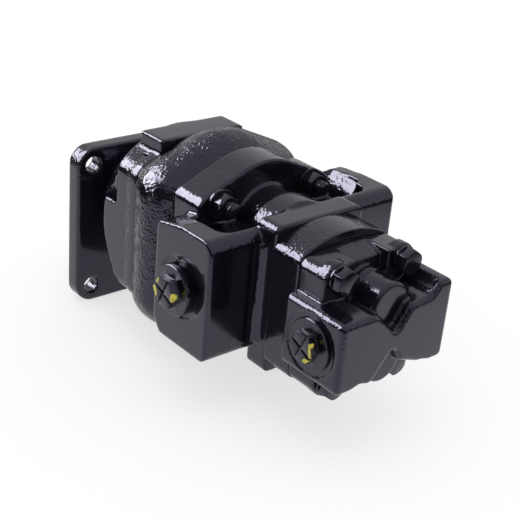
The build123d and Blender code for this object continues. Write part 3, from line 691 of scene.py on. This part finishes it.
def turned_about_y(profile, middle, steps):
    """A bmesh turned about a line along Y through the middle, from (radius, y) points."""
    shape = bmesh.new()
    chain = [shape.verts.new((middle.x + radius, y, middle.z)) for radius, y in profile]
    edges = [shape.edges.new(pair) for pair in zip(chain, chain[1:])]
    bmesh.ops.spin(shape, geom=chain + edges, cent=middle, axis=(0, 1, 0), angle=math.tau,
                   steps=steps, use_merge=True)
    bmesh.ops.remove_doubles(shape, verts=shape.verts, dist=SPUN_WELD)
    bmesh.ops.recalc_face_normals(shape, faces=shape.faces)
    return shape


def plug_measures(node):
    """Axis, side, stem and flange radii, and the Y of the stem's end and of the flange's seat."""
    low, high = (Vector(corner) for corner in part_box(node))
    middle = (low + high) / 2
    side = -1 if middle.y < 0 else 1
    points = [vertex.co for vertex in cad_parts[node].data.vertices]
    reach = [(math.hypot(p.x - middle.x, p.z - middle.z), side * p.y) for p in points]
    flange = max(r for r, y in reach)
    floor = min(y for r, y in reach if r > flange - 0.02 * MM)
    inner = min(y for r, y in reach)
    stem = max(r for r, y in reach if y < inner + 0.01 * MM)
    return middle, side, stem, flange, inner, floor


def make_plug(node, finish):
    """A moulded port plug: stem, flange and hexagon head with crossed grooves."""
    sizes = bpy.context.scene.pump_finish
    middle, side, stem, flange, inner, floor = plug_measures(node)
    section = node.split("_")[0]
    height = PLUG_HEAD_HEIGHT[section]
    top = floor + PLUG_FLANGE_HEIGHT[section]
    profile = [(0, inner), (stem - PLUG_CHAMFER, inner), (stem, inner + PLUG_CHAMFER),
               (stem, floor), (flange, floor), (flange, top - PLUG_LIP), (flange - PLUG_LIP, top),
               (flange - 3 * PLUG_LIP, top), (0, top)]
    body = turned_about_y([(radius, side * y) for radius, y in profile], middle, PLUG_SIDES)
    made = make_object(body, node + "_moulded")
    head = bmesh.new()
    radius = sizes.plug_flats / math.sqrt(3)
    bmesh.ops.create_cone(head, cap_ends=True, segments=6, radius1=radius, radius2=radius,
                          depth=height + PLUG_LIP)
    place = Vector((middle.x, side * (top + (height - PLUG_LIP) / 2), middle.z))
    # a flat of the hexagon turned up, then its axis laid along Y
    turn = Matrix.Rotation(math.radians(90), 4, "X") @ Matrix.Rotation(math.radians(30), 4, "Z")
    bmesh.ops.transform(head, matrix=Matrix.Translation(place) @ turn, verts=head.verts)
    combine(made, make_object(head, "head"), "UNION")
    place = Vector((middle.x, side * (top + height), middle.z))
    scale = Matrix.Diagonal((4 * radius, 2 * PLUG_GROOVE_DEPTH, sizes.plug_groove, 1))
    for lean in PLUG_GROOVE_LEANS:
        groove = bmesh.new()
        bmesh.ops.create_cube(groove, size=1.0)
        turn = Matrix.Rotation(math.radians(side * lean), 4, "Y")
        bmesh.ops.transform(groove, matrix=Matrix.Translation(place) @ turn @ scale,
                            verts=groove.verts)
        combine(made, make_object(groove, "groove"), "DIFFERENCE")
    soften(made, 0.8 * sizes.edge)
    stand_for(made, node, "casing", finish)


# ---------------------------------------------------------------- operators for the pieces
class PUMP_OT_finishes(bpy.types.Operator):
    """Make the pump's materials"""

    bl_idname = "pump.finishes"
    bl_label = "Finishes"

    def execute(self, context):
        make_finishes()
        return {"FINISHED"}


class PUMP_OT_castings(bpy.types.Operator):
    """Skin the five castings"""

    bl_idname = "pump.castings"
    bl_label = "Castings"

    def execute(self, context):
        finish = context.scene.pump_finish
        for node, (voxel, passes, share, paint) in CASTINGS.items():
            cast_skin(node, voxel * MM, passes, share * finish.grain_height,
                      finish.grain_size, FINISHES[paint])
        return {"FINISHED"}


class PUMP_OT_fasteners(bpy.types.Operator):
    """Thread the studs and soften the edges of the nuts, washers and bolts"""

    bl_idname = "pump.fasteners"
    bl_label = "Fasteners"

    def execute(self, context):
        finish = context.scene.pump_finish
        rods = [threaded_rod(low, high, finish.thread_pitch) for low, high in solids("front_studs")]
        studs = make_object(joined(rods), "front_studs_threaded", 50)
        stand_for(studs, "front_studs", "casing", FINISHES["hardware_paint"])
        for node in ("front_nuts", "front_washers", "rear_bolts", "rear_washers"):
            shape = flat_sided_copy(node)
            if node in HEXAGON_TURNS:
                turn_hexagons(shape, node)
            made = make_object(shape, node + "_worn")
            soften(made, finish.edge)
            stand_for(made, node, "casing", FINISHES["hardware_paint"])
        return {"FINISHED"}


class PUMP_OT_plugs(bpy.types.Operator):
    """Mould the four port plugs"""

    bl_idname = "pump.plugs"
    bl_label = "Port Plugs"

    def execute(self, context):
        for node in PLUG_PATCHES:
            make_plug(node, FINISHES[node])
        return {"FINISHED"}


class PUMP_OT_inner_parts(bpy.types.Operator):
    """Give the gears, shafts, bushings and seals their finishes"""

    bl_idname = "pump.inner_parts"
    bl_label = "Inner Parts"

    def execute(self, context):
        for finish, nodes in INNER_FINISHES.items():
            for node in nodes:
                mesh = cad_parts[node].data
                mesh.materials.clear()
                mesh.materials.append(FINISHES[finish])
        return {"FINISHED"}


# ---------------------------------------------------------------- stage
def area_light(name, direction, distance, width, height, power, aim):
    """A white softbox that faces the pump and that the camera doesn't see."""
    light = bpy.data.lights.new(name, "AREA")
    light.shape = "RECTANGLE"
    light.size = width
    light.size_y = height
    light.energy = power
    made = bpy.data.objects.new(name, light)
    bpy.context.scene.collection.objects.link(made)
    away = Vector(direction).normalized()
    made.location = Vector(aim) + away * distance
    made.rotation_euler = (-away).to_track_quat("-Z", "Y").to_euler()
    made.visible_camera = False
    return made


def mix_shader(tree, amount, first, second):
    """A Mix Shader node between two shader nodes."""
    mix = tree.nodes.new("ShaderNodeMixShader")
    tree.links.new(amount, mix.inputs[0])
    tree.links.new(first.outputs[0], mix.inputs[1])
    tree.links.new(second.outputs[0], mix.inputs[2])
    return mix


def ray_kinds(tree):
    """Sockets that are 1 for a ray from the camera, and for one from a gloss or a glass."""
    path = tree.nodes.new("ShaderNodeLightPath")
    mirrored = math_node(tree, "MAXIMUM", path.outputs["Is Glossy Ray"],
                         path.outputs["Is Transmission Ray"])
    return path.outputs["Is Camera Ray"], mirrored


def backdrop_world(fill, dark):
    """White to the camera, pale with a dark side in the gloss, and a plain light from all round."""
    world = bpy.data.worlds.new("studio")
    bpy.context.scene.world = world
    world.use_nodes = True
    tree = world.node_tree
    light = tree.nodes["Background"]
    light.inputs["Color"].default_value = WHITE
    light.inputs["Strength"].default_value = fill
    parts = tree.nodes.new("ShaderNodeSeparateXYZ")
    tree.links.new(tree.nodes.new("ShaderNodeTexCoord").outputs["Generated"], parts.inputs[0])
    shade = math_node(tree, "MULTIPLY", range_node(tree, parts.outputs["Y"], *DARK_SIDE_Y),
                      range_node(tree, parts.outputs["Z"], *DARK_SIDE_Z))
    room = add(tree, "ShaderNodeBackground", Color=WHITE)
    tree.links.new(range_node(tree, shade, 0.0, 1.0, PALE_WALLS, dark), room.inputs["Strength"])
    white = add(tree, "ShaderNodeBackground", Color=WHITE, Strength=1.0)
    camera, mirrored = ray_kinds(tree)
    seen = mix_shader(tree, camera, mix_shader(tree, mirrored, light, room), white)
    tree.links.new(seen.outputs[0], tree.nodes["World Output"].inputs["Surface"])


def floor_material(dark):
    """White floor that keeps the object's shadow, and is out of the light far from the object."""
    made, tree, shader, place = new_material("studio floor")
    low, high = FLOOR_TONE
    patch = use(tree, GROUPS["cloud"], place, Size=0.4, Low=low, High=high)
    colour = add(tree, "ShaderNodeCombineColor")
    for channel in range(3):
        tree.links.new(patch.outputs["Value"], colour.inputs[channel])
    tree.links.new(colour.outputs[0], shader.inputs["Base Color"])
    shader.inputs["Roughness"].default_value = 0.9
    shader.inputs["Specular IOR Level"].default_value = 0.0
    camera, mirrored = ray_kinds(tree)
    lift = add(tree, "ShaderNodeEmission", Color=WHITE)
    strength = math_node(tree, "MULTIPLY", math_node(tree, "MAXIMUM", camera, mirrored), FLOOR_LIFT)
    tree.links.new(strength, lift.inputs["Strength"])
    near = tree.nodes.new("ShaderNodeAddShader")
    tree.links.new(shader.outputs[0], near.inputs[0])
    tree.links.new(lift.outputs[0], near.inputs[1])
    white = add(tree, "ShaderNodeEmission", Color=WHITE, Strength=1.0)
    unlit = add(tree, "ShaderNodeEmission", Color=WHITE, Strength=dark)
    far = mix_shader(tree, camera, unlit, white)
    reach = add(tree, "ShaderNodeVectorMath", {"operation": "LENGTH"})
    tree.links.new(place, reach.inputs[0])
    whole = mix_shader(tree, range_node(tree, reach.outputs["Value"], *FLOOR_FADE), near, far)
    tree.links.new(whole.outputs[0], tree.nodes["Material Output"].inputs["Surface"])
    return made


def place_camera(stage):
    """The camera at the viewing angle."""
    data = bpy.data.cameras.new("camera")
    data.sensor_width = 36.0
    data.lens = stage.lens
    data.clip_start = 0.01
    data.clip_end = 20.0
    camera = bpy.data.objects.new("camera", data)
    bpy.context.scene.collection.objects.link(camera)
    a, e = stage.azimuth, stage.elevation
    back = Vector((math.sin(a) * math.cos(e), -math.cos(a) * math.cos(e), math.sin(e)))
    right = Vector((math.cos(a), math.sin(a), 0))
    up = back.cross(right)
    turned_right = right * math.cos(stage.roll) + up * math.sin(stage.roll)
    turned_up = up * math.cos(stage.roll) - right * math.sin(stage.roll)
    turn = Matrix((turned_right, turned_up, back)).transposed().to_4x4()
    place = Vector(stage.target) + back * stage.distance
    camera.matrix_world = Matrix.Translation(place) @ turn
    bpy.context.scene.camera = camera


class PUMP_OT_stage(bpy.types.Operator):
    """Set up the floor, the lights and the camera"""

    bl_idname = "pump.stage"
    bl_label = "Stage"

    def execute(self, context):
        stage = context.scene.pump_stage
        low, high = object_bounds()
        middle = (low + high) / 2
        shape = bmesh.new()
        bmesh.ops.create_circle(shape, cap_ends=True, segments=96, radius=FLOOR_RADIUS)
        bmesh.ops.translate(shape, verts=shape.verts, vec=(middle.x, middle.y, low.z - FLOOR_GAP))
        floor = make_object(shape, "floor")
        floor.data.materials.append(floor_material(stage.dark))
        floor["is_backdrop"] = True
        backdrop_world(stage.fill, stage.dark)
        *_, width, height = SIDE_SOFTBOX
        side = area_light("side softbox", *SIDE_SOFTBOX,
                          stage.softbox * math.pi * width * height, middle)
        side.visible_diffuse = False
        over = area_light("overhead softbox", *OVERHEAD_SOFTBOX, OVERHEAD_BRIGHTNESS * math.pi,
                          middle)
        over.visible_glossy = False
        place_camera(stage)
        context.scene.view_settings.view_transform = "Standard"
        return {"FINISHED"}


class PUMP_PT_panel(bpy.types.Panel):
    """Sizes and colours, and the operators in order"""

    bl_label = "Gear Pump"
    bl_idname = "PUMP_PT_panel"
    bl_space_type = "VIEW_3D"
    bl_region_type = "UI"
    bl_category = "Gear Pump"

    def draw(self, context):
        for group in (context.scene.pump_finish, context.scene.pump_stage):
            for name in group.__annotations__:
                self.layout.prop(group, name)
        for operator in STEPS:
            self.layout.operator(operator.bl_idname)


STEPS = (PUMP_OT_finishes, PUMP_OT_castings, PUMP_OT_fasteners, PUMP_OT_plugs,
         PUMP_OT_inner_parts, PUMP_OT_stage)
CLASSES = (PumpFinish, PumpStage, *STEPS, PUMP_PT_panel)


def register():
    for made in CLASSES:
        bpy.utils.register_class(made)
    bpy.types.Scene.pump_finish = bpy.props.PointerProperty(type=PumpFinish)
    bpy.types.Scene.pump_stage = bpy.props.PointerProperty(type=PumpStage)


def unregister():
    del bpy.types.Scene.pump_stage
    del bpy.types.Scene.pump_finish
    for made in reversed(CLASSES):
        bpy.utils.unregister_class(made)


def main():
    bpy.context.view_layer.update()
    register()
    for step in STEPS:
        group, name = step.bl_idname.split(".")
        getattr(getattr(bpy.ops, group), name)()


if __name__ == "__main__":
    main()
